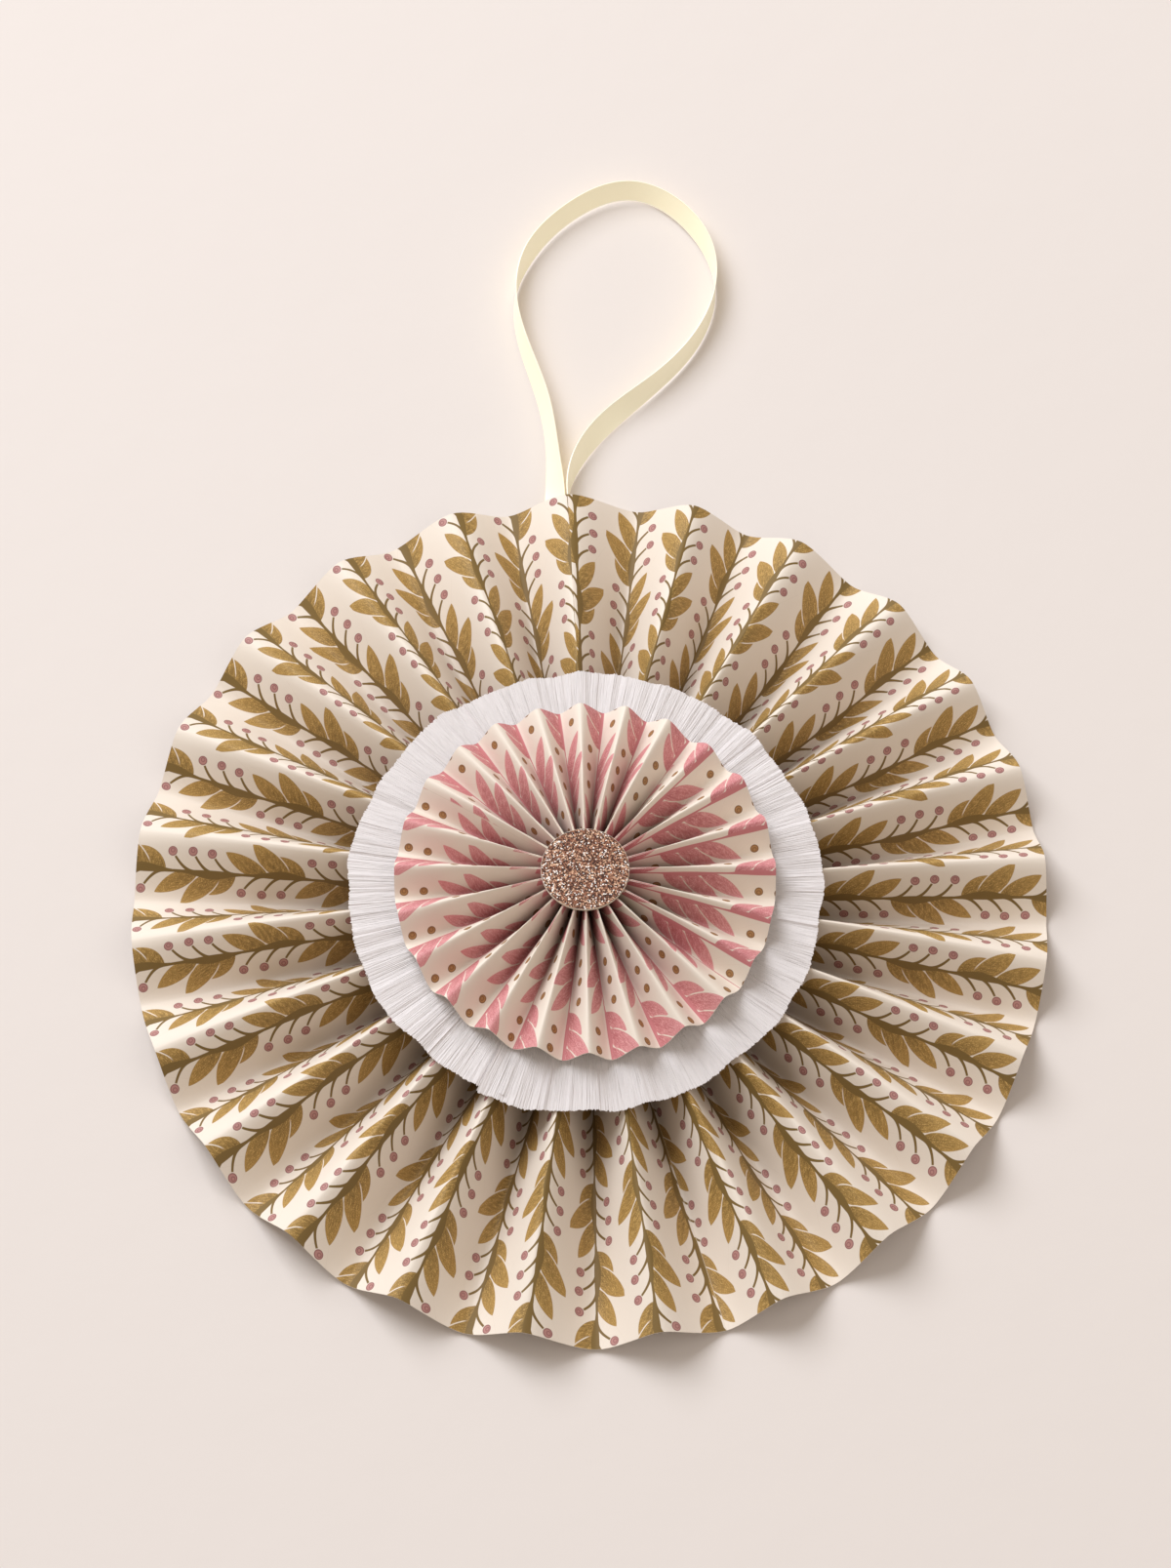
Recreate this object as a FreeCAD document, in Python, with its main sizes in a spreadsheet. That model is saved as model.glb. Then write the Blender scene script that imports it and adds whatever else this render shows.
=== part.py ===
import FreeCAD, Part
import Sketcher
import math
import os

Vector = FreeCAD.Vector

# Millimetres. The object lies face up: +Z is up, +Y runs towards the hanging loop.
SIZES = (
    ("large_radius", 133.1),  # large fan, hub hole to rim
    ("large_hub", 6.5),
    ("large_panel", 20.3),  # width of paper between two folds
    ("large_rise", 1.2),  # how far the valleys climb from rim to hub
    ("small_radius", 54.9),
    ("small_hub", 4.0),
    ("small_panel", 9.8),
    ("small_rise", 0.85),
    ("paper_thick", 0.3),
    ("frill_radius", 68.5),
    ("frill_hole", 10.0),
    ("frill_thick", 0.4),
    ("frill_wave", 1.1),  # half height of the crimps at the edge
    ("glitter_radius", 12.7),
    ("glitter_thick", 0.9),
    ("back_radius", 25.0),
    ("card_radius", 20.0),
    ("card_thick", 0.6),
    ("stack_x", -1.4),  # how far the upper layers are glued off centre
    ("stack_y", 0.6),
    ("glue_gap", 0.05),  # between a glue plug and the paper round it
    ("soft_gap", 0.1),  # between crepe and what it lies on
    ("ridge_gap", 0.3),  # between crepe and the ridges under it
    ("ribbon_wide", 6.8),
    ("ribbon_thick", 0.3),
    ("tail_gap", 0.7),  # glue between a ribbon tail and the panel over it, at mid panel
)

PLEATS = 24
LARGE_STEPS = 9  # straight lengths along each fold
SMALL_STEPS = 6
RIM_CROWDING = 1.5  # over 1 the lengths get shorter towards the rim, where the folds bend most
FRILL_CRIMPS = 36
RIBBON_STEPS = 72
GLUE_SIDES = 24

# Unevenness of the folds, in degrees round the ring: a start angle, then a swing
# once round and a swing twice round, each with its size and the angle it is led by.
LARGE_FOLDS = (95.4, 3.0, -83.5, 1.87, -88.8)
SMALL_FOLDS = (0.4, 3.0, 1.5, 1.4, 109.0)

# The ribbon's way round the loop, from rim to rim: x, y, height of the lower edge
# above the table, and lean. Lean turns the outer edge from flat outwards (0) over
# upright (90) to flat inwards (180).
RIBBON_WAY = (
    (-10.5, 134.0, 2.2, 152.0),
    (-11.0, 148.5, 1.4, 126.0),
    (-14.2, 169.8, 1.0, 118.0),
    (-20.7, 190.7, 0.8, 109.0),
    (-22.7, 206.1, 0.7, 93.0),
    (-17.8, 222.0, 0.8, 64.0),
    (-7.4, 234.1, 1.0, 60.0),
    (13.0, 242.7, 1.2, 58.0),
    (31.0, 231.8, 1.0, 57.0),
    (38.6, 209.6, 0.7, 88.0),
    (31.2, 188.2, 0.8, 107.0),
    (18.3, 173.9, 0.9, 119.0),
    (5.3, 162.2, 0.9, 136.0),
    (-3.6, 149.3, 0.7, 116.0),
    (-6.5, 135.0, 1.0, 93.0),
)
TAIL_RADII = (113.0, 106.0, 99.0, 92.0)  # a glued tail passes these and ends at the last

doc = FreeCAD.newDocument("paper_fan_rosette")
sheet = doc.addObject("Spreadsheet::Sheet", "sizes")
for row, (alias, value) in enumerate(SIZES, start=1):
    sheet.set("A%d" % row, alias)
    sheet.set("B%d" % row, str(value))
    sheet.setAlias("B%d" % row, alias)
doc.recompute()


def size(alias):
    """A driving dimension of the sheet, as a plain number."""
    return float(sheet.get(alias))


def fold_angle(index, folds):
    """Angle of a fold in radians. Whole numbers are ridges, halves are valleys."""
    start, once, once_at, twice, twice_at = folds
    even = start - once + 360.0 * index / PLEATS
    swing = once * math.cos(math.radians(even - once_at))
    swing += twice * math.cos(math.radians(2.0 * even - twice_at))
    return math.radians(start + 360.0 * index / PLEATS + swing)


def depth(fan, radius):
    """Height from valley to ridge, where the paper keeps its width and the gap between folds grows."""
    spread = 2.0 * radius * math.sin(math.pi / (2 * PLEATS))
    return math.sqrt(size(fan + "_panel") ** 2 - spread ** 2)


def valley_height(fan, radius):
    """Height of a valley fold over the fan's own base at this radius."""
    outer = size(fan + "_radius")
    return size(fan + "_rise") * (outer - radius) / (outer - size(fan + "_hub"))


def ridge_height(fan, radius):
    """Height of a ridge fold over the fan's own base at this radius."""
    return valley_height(fan, radius) + depth(fan, radius)


def crest(deep, pitch):
    """Half width of the blunt outer side of a fold that keeps both panels at full thickness.

    The inside of a fold lies one thickness in, and so does the inside of the next fold, so the
    inner and outer lines of a panel are parallel and one thickness apart at this width.
    """
    thick = size("paper_thick")
    clear = deep - 3.0 * thick
    return thick * (math.sqrt(pitch ** 2 + clear * (deep - thick)) - pitch) / clear


def polar(radius, angle, height):
    """A point by its radius, angle in radians and height."""
    return Vector(radius * math.cos(angle), radius * math.sin(angle), height)


def facets(a, b, c, d):
    """Two flat triangles over the four points, split along the shorter diagonal."""
    if a.distanceToPoint(c) <= b.distanceToPoint(d):
        halves = ((a, b, c), (a, c, d))
    else:
        halves = ((a, b, d), (b, c, d))
    return [Part.Face(Part.makePolygon([p, q, r, p])) for p, q, r in halves]


def skin(rows):
    """Faces between rows of points, where each row runs round a tube."""
    faces = []
    for near, far in zip(rows, rows[1:]):
        turns = list(zip(near, far))
        for (a, d), (b, c) in zip(turns, turns[1:] + turns[:1]):
            faces += facets(a, b, c, d)
    return faces


def filled(faces):
    """The solid that the faces close in."""
    solid = Part.Solid(Part.Shell(faces))
    if solid.Volume < 0.0:
        solid.reverse()
    return solid


def ring_between(upper, lower):
    """The solid between two stacks of rings, joined along the hub hole and the rim."""
    rows = upper + lower[::-1]
    return filled(skin(rows + rows[:1]))


def pleat_row(fan, folds, radius, seat, upper):
    """One ring of points round a fan: a blunt fold has two points, the inside of a fold one."""
    thick = size("paper_thick")
    valley = seat + valley_height(fan, radius)
    deep = depth(fan, radius)
    ridge = valley + deep
    points = []
    for step in range(2 * PLEATS):
        angle = fold_angle(step / 2.0, folds)
        is_ridge = step % 2 == 0
        if is_ridge != upper:
            inside = ridge - thick if is_ridge else valley + thick
            points.append(polar(radius, angle, inside))
            continue
        for side in (-0.5, 0.5):
            pitch = radius * abs(fold_angle(step / 2.0 + side, folds) - angle)
            turn = 2.0 * side * crest(deep, pitch) / radius
            points.append(polar(radius, angle + turn, ridge if is_ridge else valley))
    return points


def pleated_fan(fan, folds, steps, seat):
    """A folded ring of paper, whose panels turn from upright at the hub to leaning at the rim."""
    inner = size(fan + "_hub")
    outer = size(fan + "_radius")
    radii = [outer - (outer - inner) * (1.0 - step / steps) ** RIM_CROWDING for step in range(steps + 1)]
    upper = [pleat_row(fan, folds, radius, seat, True) for radius in radii]
    lower = [pleat_row(fan, folds, radius, seat, False) for radius in radii]
    return ring_between(upper, lower)


def frill_swing(radius):
    """Half height of the crimps, growing from the card disc to the edge."""
    inner = size("card_radius")
    return size("frill_wave") * max(0.0, radius - inner) / (size("frill_radius") - inner)


def frill_base(radius):
    """Mean height of the crepe's underside: on its card disc, then sloping with the ridges."""
    card_top = ridge_height("large", size("large_hub")) + size("card_thick")
    if radius <= size("card_radius"):
        return card_top + size("soft_gap")
    return ridge_height("large", radius) + size("ridge_gap") + frill_swing(radius)


def frill_top(radius):
    """Height of the crimps' upper side."""
    return frill_base(radius) + frill_swing(radius) + size("frill_thick")


def frill_row(radius, lift):
    """One ring of points round the crepe."""
    points = []
    for step in range(2 * FRILL_CRIMPS):
        wave = frill_swing(radius) * (1 if step % 2 else -1)
        points.append(polar(radius, math.pi * step / FRILL_CRIMPS, frill_base(radius) + wave + lift))
    return points


def crepe_frill():
    """The crimped ring of crepe paper."""
    outer = size("frill_radius")
    card = size("card_radius")
    radii = (size("frill_hole"), card, (card + outer) / 2.0, outer)
    under = [frill_row(radius, 0.0) for radius in radii]
    over = [frill_row(radius, size("frill_thick")) for radius in radii]
    return ring_between(over, under)


def tail_point(radius, side):
    """A step of the ribbon's way flat under a panel of the top pleat, left of its ridge (1) or right (-1)."""
    thick = size("paper_thick")
    angle = fold_angle(0, LARGE_FOLDS)
    pitch = radius * abs(fold_angle(side / 2.0, LARGE_FOLDS) - angle)
    across = pitch - crest(depth("large", radius), pitch)
    fall = depth("large", radius) - thick
    slope = math.atan2(fall, across)
    below = size("tail_gap") + size("ribbon_thick") / 2.0
    off = across / 2.0 - below * math.sin(slope)
    centre = polar(radius, angle + side * off / radius, 0.0)
    height = valley_height("large", radius) + fall / 2.0 - below * math.cos(slope)
    low = height - size("ribbon_wide") / 2.0 * math.sin(slope)
    return centre.x, centre.y, low, 180.0 - math.degrees(slope)


def ribbon_edges():
    """The two edges of the ribbon as smooth curves over the same parameters."""
    left = [tail_point(radius, 1) for radius in TAIL_RADII[::-1]]
    right = [tail_point(radius, -1) for radius in TAIL_RADII]
    way = left + list(RIBBON_WAY) + right
    half = size("ribbon_wide") / 2.0
    centres = []
    outward = []
    for index, (x, y, low, lean) in enumerate(way):
        before = way[max(index - 1, 0)]
        after = way[min(index + 1, len(way) - 1)]
        along = Vector(after[0] - before[0], after[1] - before[1], 0).normalize()
        turn = math.radians(lean)
        side = Vector(-along.y, along.x, 0) * math.cos(turn) + Vector(0, 0, math.sin(turn))
        centres.append(Vector(x, y, low + half * math.sin(turn)))
        outward.append(side * half)
    marks = [0.0]
    for start, end in zip(centres, centres[1:]):
        marks.append(marks[-1] + start.distanceToPoint(end))
    edges = []
    for sign in (-1, 1):
        curve = Part.BSplineCurve()
        curve.interpolate(Points=[c + o * sign for c, o in zip(centres, outward)], Parameters=marks)
        edges.append(curve)
    return edges


def ribbon_loop():
    """The ribbon as a thin band that leans and turns along its way."""
    inner, outer = ribbon_edges()
    half = size("ribbon_wide") / 2.0
    thin = size("ribbon_thick") / 2.0
    first, last = inner.FirstParameter, inner.LastParameter
    rows = []
    for step in range(RIBBON_STEPS + 1):
        mark = first + (last - first) * step / RIBBON_STEPS
        centre = (inner.value(mark) + outer.value(mark)) / 2.0
        side = (outer.value(mark) - inner.value(mark)).normalize()
        along = (inner.tangent(mark)[0] + outer.tangent(mark)[0]).normalize()
        face = along.cross(side).normalize()
        corners = ((-1, -1), (1, -1), (1, 1), (-1, 1))
        rows.append([centre + side * (half * u) + face * (thin * v) for u, v in corners])
    return filled(skin(rows) + facets(*rows[0][::-1]) + facets(*rows[-1]))


def folded_piece(name, shape, place):
    """A sheet piece by its shape, with its place bound to the sheet."""
    piece = doc.addObject("Part::Feature", name)
    piece.Label = name
    piece.Shape = shape
    for axis, formula in place.items():
        piece.setExpression("Placement.Base." + axis, formula)
    return piece


def round_piece(name, radius, height, place):
    """A disc drawn as a circle and padded upwards, its radius and height bound to the sheet."""
    body = doc.addObject("PartDesign::Body", name)
    body.Label = name
    sketch = body.newObject("Sketcher::SketchObject", name + "_circle")
    plane = [entry for entry in body.Origin.OriginFeatures if entry.Role == "XY_Plane"][0]
    sketch.AttachmentSupport = [(plane, "")]
    sketch.MapMode = "FlatFace"
    sketch.addGeometry(Part.Circle(Vector(0, 0, 0), Vector(0, 0, 1), size(radius)), False)
    sketch.addConstraint(Sketcher.Constraint("Coincident", 0, 3, -1, 1))
    rounding = sketch.addConstraint(Sketcher.Constraint("Radius", 0, size(radius)))
    sketch.setExpression("Constraints[%d]" % rounding, "sizes." + radius)
    pad = body.newObject("PartDesign::Pad", name + "_pad")
    pad.Profile = sketch
    pad.setExpression("Length", "sizes." + height)
    body.Tip = pad
    for axis, formula in place.items():
        body.setExpression("Placement.Base." + axis, formula)
    return body


def glue_plug(name, radius, height, place):
    """A many-sided plug of glue that fills a hub, bound to the sheet."""
    plug = doc.addObject("Part::Prism", name)
    plug.Label = name
    plug.Polygon = GLUE_SIDES
    plug.setExpression("Circumradius", radius)
    plug.setExpression("Height", height)
    for axis, formula in place.items():
        plug.setExpression("Placement.Base." + axis, formula)
    return plug


# Heights at which the layers sit on each other.
SEATS = (
    ("back_thick", valley_height("large", size("back_radius"))),
    ("card_seat", ridge_height("large", size("large_hub"))),
    ("small_seat", frill_top(size("small_radius")) + size("soft_gap")),
    ("glitter_drop", ridge_height("small", size("small_hub"))),
)
for row, (alias, value) in enumerate(SEATS, start=len(SIZES) + 1):
    sheet.set("A%d" % row, alias)
    sheet.set("B%d" % row, "%.6f" % value)
    sheet.setAlias("B%d" % row, alias)
doc.recompute()

STACK = {"x": "sizes.stack_x", "y": "sizes.stack_y"}

pieces = [
    folded_piece("large_fan", pleated_fan("large", LARGE_FOLDS, LARGE_STEPS, 0.0), {}),
    folded_piece("crepe_frill", crepe_frill(), STACK),
    folded_piece("small_fan", pleated_fan("small", SMALL_FOLDS, SMALL_STEPS, size("small_seat")), STACK),
    folded_piece("ribbon_loop", ribbon_loop(), {}),
    round_piece("back_disc", "back_radius", "back_thick", {}),
    glue_plug(
        "large_hub_glue",
        "sizes.large_hub - sizes.glue_gap",
        "sizes.card_seat - sizes.back_thick",
        {"z": "sizes.back_thick"},
    ),
    round_piece("frill_disc", "card_radius", "card_thick", {**STACK, "z": "sizes.card_seat"}),
    glue_plug(
        "small_hub_glue",
        "sizes.small_hub - sizes.glue_gap",
        "sizes.small_seat + sizes.glitter_drop - sizes.card_seat - sizes.card_thick",
        {**STACK, "z": "sizes.card_seat + sizes.card_thick"},
    ),
    round_piece(
        "glitter_disc",
        "glitter_radius",
        "glitter_thick",
        {**STACK, "z": "sizes.small_seat + sizes.glitter_drop"},
    ),
]
doc.recompute()

os.makedirs("parts", exist_ok=True)
for entry in doc.Objects:
    if "Invalid" in entry.State or "Error" in entry.State:
        raise RuntimeError("%s did not recompute" % entry.Name)
for piece in pieces:
    if piece.Shape.isNull() or not piece.Shape.isValid():
        raise RuntimeError("%s has no valid shape" % piece.Label)
    piece.Shape.exportStep("parts/%s.step" % piece.Label)
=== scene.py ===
"""Looks of the paper fan rosette: two printed fans, a crepe frill, a glitter disc and a ribbon loop.

Sizes are in millimetres in the classes and become metres when a mesh is made. Every print and weave
is worked out in millimetres across and along its own paper or ribbon.
"""

import logging
import math
from dataclasses import dataclass, field
from enum import Enum

import bpy
import numpy as np
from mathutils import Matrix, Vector


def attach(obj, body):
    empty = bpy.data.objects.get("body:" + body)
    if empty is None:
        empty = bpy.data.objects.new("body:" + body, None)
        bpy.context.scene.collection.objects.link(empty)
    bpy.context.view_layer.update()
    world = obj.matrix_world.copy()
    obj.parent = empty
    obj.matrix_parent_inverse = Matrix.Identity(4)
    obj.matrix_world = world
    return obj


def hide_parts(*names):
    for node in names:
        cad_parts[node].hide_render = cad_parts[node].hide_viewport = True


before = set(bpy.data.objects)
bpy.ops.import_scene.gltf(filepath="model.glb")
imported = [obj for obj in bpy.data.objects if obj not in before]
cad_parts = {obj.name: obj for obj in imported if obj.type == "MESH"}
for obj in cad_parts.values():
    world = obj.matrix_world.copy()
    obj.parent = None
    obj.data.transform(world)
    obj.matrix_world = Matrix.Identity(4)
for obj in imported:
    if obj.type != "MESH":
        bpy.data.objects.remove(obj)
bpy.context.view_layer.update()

log = logging.getLogger("rosette")
MM = 0.001  # metres
SEED = 24
PLEATS = 24  # ridges round each fan
PANELS = 2 * PLEATS
STACK = (-1.4, 0.6)  # middle of the pieces that lie on the large fan
FACE_SHARE = 0.9  # how much of a fan's map, from the hub up, its printed face takes


def srgb(red: float, green: float, blue: float) -> tuple[float, float, float, float]:
    """A colour as read off a screen, made linear for a shader.

    Args:
        red, green, blue: parts from 0 to 255.
    Returns:
        The linear colour with full alpha.
    """
    parts = np.array([red, green, blue]) / 255.0
    linear = np.where(parts <= 0.04045, parts / 12.92, ((parts + 0.055) / 1.055) ** 2.4)
    return (*linear.tolist(), 1.0)


class Tone(Enum):
    """Colours of the materials."""

    CREAM = (244, 231, 217)
    LEAF = (180, 141, 75)
    LEAF_DARK = (127, 100, 48)
    LEAF_LIGHT = (212, 174, 104)
    BERRY = (192, 140, 134)
    BERRY_RIM = (134, 78, 80)
    ROSE = (225, 150, 152)
    ROSE_DARK = (190, 106, 112)
    ROSE_LIGHT = (236, 180, 178)
    ROSE_STEM = (208, 128, 132)
    # painted shade deep in the folds, darkest in the valleys near the hub
    PAINTED_FOLD_SHADE = (78, 52, 34)
    DOT = (176, 130, 80)
    DOT_RIM = (112, 76, 44)
    CREPE = (240, 233, 233)
    BACK_PAPER = (240, 232, 220)
    CARD = (226, 214, 196)
    IVORY = (255, 246, 216)
    # the woven selvage, lightened by a painted highlight
    SELVAGE_HIGHLIGHT = (255, 252, 234)
    GLUE = (236, 230, 214)
    TABLE = (236, 227, 222)

    def colour(self) -> tuple[float, float, float, float]:
        """The tone as a linear colour."""
        return srgb(*self.value)


class Flow:
    """A shader value that can be used in a formula, which adds the nodes for it."""

    def __init__(self, tree: bpy.types.NodeTree, socket: object) -> None:
        """Wraps an output socket of a tree."""
        self.tree = tree
        self.socket = socket

    def _math(self, operation: str, *others: object, clamp: bool = False) -> "Flow":
        """Adds a math node.

        Args:
            operation: what it does.
            others: the values after this one, as numbers or flows.
            clamp: holds the result between 0 and 1.
        Returns:
            The result.
        """
        node = self.tree.nodes.new("ShaderNodeMath")
        node.operation = operation
        node.use_clamp = clamp
        for slot, entry in zip(node.inputs, (self, *others)):
            if isinstance(entry, Flow):
                self.tree.links.new(entry.socket, slot)
            else:
                slot.default_value = float(entry)
        return Flow(self.tree, node.outputs[0])

    def __add__(self, other: object) -> "Flow":
        """The sum."""
        return self._math("ADD", other)

    def __sub__(self, other: object) -> "Flow":
        """The difference."""
        return self._math("SUBTRACT", other)

    def __mul__(self, other: object) -> "Flow":
        """The product."""
        return self._math("MULTIPLY", other)

    def __truediv__(self, other: object) -> "Flow":
        """The quotient."""
        return self._math("DIVIDE", other)

    def __pow__(self, other: object) -> "Flow":
        """The power."""
        return self._math("POWER", other)

    def top(self, other: object) -> "Flow":
        """The larger of this and other."""
        return self._math("MAXIMUM", other)

    def size(self) -> "Flow":
        """The value without its sign."""
        return self._math("ABSOLUTE")

    def over(self, edge: float) -> "Flow":
        """1 where the value is larger than the edge, else 0."""
        return self._math("GREATER_THAN", edge)

    def floor(self) -> "Flow":
        """The whole number below."""
        return self._math("FLOOR")

    def wrap(self, period: float) -> "Flow":
        """The rest after whole periods, from 0 up to the period."""
        return self._math("FLOORED_MODULO", period)

    def sine(self) -> "Flow":
        """The sine of an angle in radians."""
        return self._math("SINE")

    def cosine(self) -> "Flow":
        """The cosine of an angle in radians."""
        return self._math("COSINE")

    def unit(self) -> "Flow":
        """The value held between 0 and 1."""
        return self._math("ADD", 0.0, clamp=True)

    def ramp(self, start: float, end: float) -> "Flow":
        """A smooth step over the value.

        Args:
            start: where it is 0.
            end: where it is 1.
        Returns:
            The step, from 0 to 1.
        """
        node = self.tree.nodes.new("ShaderNodeMapRange")
        node.interpolation_type = "SMOOTHSTEP"
        self.tree.links.new(self.socket, node.inputs["Value"])
        node.inputs["From Min"].default_value = start
        node.inputs["From Max"].default_value = end
        return Flow(self.tree, node.outputs["Result"])


class Group:
    """A shader node group with named inputs and outputs."""

    def __init__(
        self, name: str, inputs: dict[str, float], outputs: tuple[str, ...], place: bool = False
    ) -> None:
        """Starts the group.

        Args:
            name: its name.
            inputs: its number inputs, each with the value it has when nothing is joined.
            outputs: its number outputs.
            place: adds an input Place, for coordinates.
        """
        self.tree = bpy.data.node_groups.new(name, "ShaderNodeTree")
        if place:
            self.tree.interface.new_socket("Place", in_out="INPUT", socket_type="NodeSocketVector")
        for label, value in inputs.items():
            slot = self.tree.interface.new_socket(label, in_out="INPUT", socket_type="NodeSocketFloat")
            slot.default_value = value
        for label in outputs:
            self.tree.interface.new_socket(label, in_out="OUTPUT", socket_type="NodeSocketFloat")
        self.source = self.tree.nodes.new("NodeGroupInput")
        self.sink = self.tree.nodes.new("NodeGroupOutput")

    def take(self, label: str) -> Flow:
        """An input of the group as a value."""
        return Flow(self.tree, self.source.outputs[label])

    def give(self, label: str, value: Flow) -> None:
        """Joins a value to an output of the group."""
        self.tree.links.new(value.socket, self.sink.inputs[label])


def call(tree: bpy.types.NodeTree, group: Group, **values: object) -> dict[str, Flow]:
    """Puts a group into a tree.

    Args:
        tree: where it goes.
        group: what goes there.
        values: its inputs by name, with _ for a space, as numbers or values.
    Returns:
        Its outputs by name.
    """
    node = tree.nodes.new("ShaderNodeGroup")
    node.node_tree = group.tree
    for label, value in values.items():
        slot = node.inputs[label.replace("_", " ")]
        if isinstance(value, Flow):
            tree.links.new(value.socket, slot)
        else:
            slot.default_value = value
    return {output.name: Flow(tree, output) for output in node.outputs}


def noise(tree: bpy.types.NodeTree, vector: object, scale: float, detail: float = 2.0) -> Flow:
    """Soft noise around 0.5.

    Args:
        tree: where it goes.
        vector: the socket that it runs over.
        scale: how fine it is.
        detail: how many finer layers it has.
    Returns:
        The noise.
    """
    node = tree.nodes.new("ShaderNodeTexNoise")
    node.inputs["Scale"].default_value = scale
    node.inputs["Detail"].default_value = detail
    tree.links.new(vector, node.inputs["Vector"])
    return Flow(tree, node.outputs["Fac"])


def plane(tree: bpy.types.NodeTree, x: Flow, y: Flow) -> object:
    """A socket with the vector of two values.

    Args:
        tree: where it goes.
        x, y: its first two parts.
    Returns:
        The socket.
    """
    node = tree.nodes.new("ShaderNodeCombineXYZ")
    tree.links.new(x.socket, node.inputs["X"])
    tree.links.new(y.socket, node.inputs["Y"])
    return node.outputs[0]


def grain_group() -> Group:
    """Paper grain: soft noise with three layers of detail over Place times Scale.

    Returns:
        A group with the output Height.
    """
    group = Group("Paper grain", {"Scale": 900.0}, ("Height",), place=True)
    node = group.tree.nodes.new("ShaderNodeTexNoise")
    node.inputs["Detail"].default_value = 3.0
    group.tree.links.new(group.source.outputs["Place"], node.inputs["Vector"])
    group.tree.links.new(group.source.outputs["Scale"], node.inputs["Scale"])
    group.give("Height", Flow(group.tree, node.outputs["Fac"]))
    return group


def leaf_group() -> Group:
    """A pointed leaf: its mask, a wider mask round it, and how far along and across a point lies.

    The leaf starts at Base Y on the stem and runs at Angle from the stem towards +X. Its half width
    is Width / 2 times along ** 0.75 times (1 - along) ** 0.85, scaled to 1 where it is widest. Its
    middle line bows outwards by Bow times along times (1 - along).

    Returns:
        A group with the outputs Mask, Halo, Along and Across.
    """
    inputs = {"X": 0.0, "Y": 0.0, "Base Y": 0.0, "Angle": 0.5, "Length": 12.0, "Width": 4.0, "Bow": 1.6}
    group = Group("Leaf", inputs, ("Mask", "Halo", "Along", "Across"))
    across_stem = group.take("X")
    up_stem = group.take("Y") - group.take("Base Y")
    sine = group.take("Angle").sine()
    cosine = group.take("Angle").cosine()
    along = ((across_stem * sine + up_stem * cosine) / group.take("Length")).unit()
    rest = (along * -1.0 + 1.0).unit()
    across = across_stem * cosine - up_stem * sine - group.take("Bow") * along * rest
    half = group.take("Width") * 1.51 * (along**0.75) * (rest**0.85)
    group.give("Mask", (half - across.size()).ramp(-0.04, 0.12))
    ends = along.ramp(0.08, 0.20) * rest.ramp(0.0, 0.02)
    group.give("Halo", (half + 0.36 - across.size()).ramp(-0.04, 0.12) * ends)
    group.give("Along", along)
    group.give("Across", across / (half + 0.05))
    return group


def berry_group() -> Group:
    """A round berry on a twig that bends out from the stem: masks of the fruit, its rim and the twig.

    The twig leaves the stem at From Y; its distance from the stem grows with along ** 2.

    Returns:
        A group with the outputs Fruit, Rim and Twig.
    """
    inputs = {"X": 0.0, "Y": 0.0, "At X": 5.0, "At Y": 5.0, "From Y": 0.0, "Radius": 1.4}
    group = Group("Berry", inputs, ("Fruit", "Rim", "Twig"))
    out = group.take("X") - group.take("At X")
    up = group.take("Y") - group.take("At Y")
    gone = (out * out + up * up) ** 0.5
    radius = group.take("Radius")
    fruit = (radius - gone).ramp(0.0, 0.16)
    ring = (gone - radius + 0.34).ramp(-0.1, 0.12)
    curl_out = out + 0.25
    curl = ((curl_out * curl_out + up * up) ** 0.5 - 0.55).size().ramp(0.20, 0.06)
    group.give("Fruit", fruit)
    group.give("Rim", fruit * ring.top(curl * 0.8))
    run = group.take("At Y") - group.take("From Y")
    along = ((group.take("Y") - group.take("From Y")) / run).unit()
    bow = (along**2.0) * group.take("At X")
    slope = along * group.take("At X") / run * 2.0
    away = (group.take("X") - bow).size() / ((slope * slope + 1.0) ** 0.5)
    inside = along.ramp(0.0, 0.04) * (gone - radius).ramp(0.05, 0.3) * (along * -1.0 + 1.0).ramp(0.0, 0.05)
    group.give("Twig", (along * -0.22 + 0.54 - away).ramp(-0.06, 0.1) * inside)
    return group


@dataclass(frozen=True)
class Sprig:
    """One cluster of the vine print: leaves on one side of the stem, berries on the other.

    Leaves are (start up the stem, angle in radians, length, width, bow); berries are
    (out from the stem, up the stem, where the twig starts).
    """

    name: str
    pitch: float = 20.6  # from cluster to cluster up the stem
    leaves: tuple = (
        (1.8, 0.64, 10.6, 4.8, 0.3),
        (6.2, 0.72, 15.4, 5.6, -2.2),
        (12.8, 0.46, 14.2, 4.9, -1.2),
    )
    berries: tuple = ((-5.4, 8.9, 2.2), (-5.7, 14.6, 8.2), (-5.4, 20.6, 13.8))
    radius: float = 1.42  # of a berry
    twigs: float = 1.0  # how strongly the twigs show
    stem: float = 0.44  # half the stem's width
    swell: float = 0.85  # how much of that is added where leaves join


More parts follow.
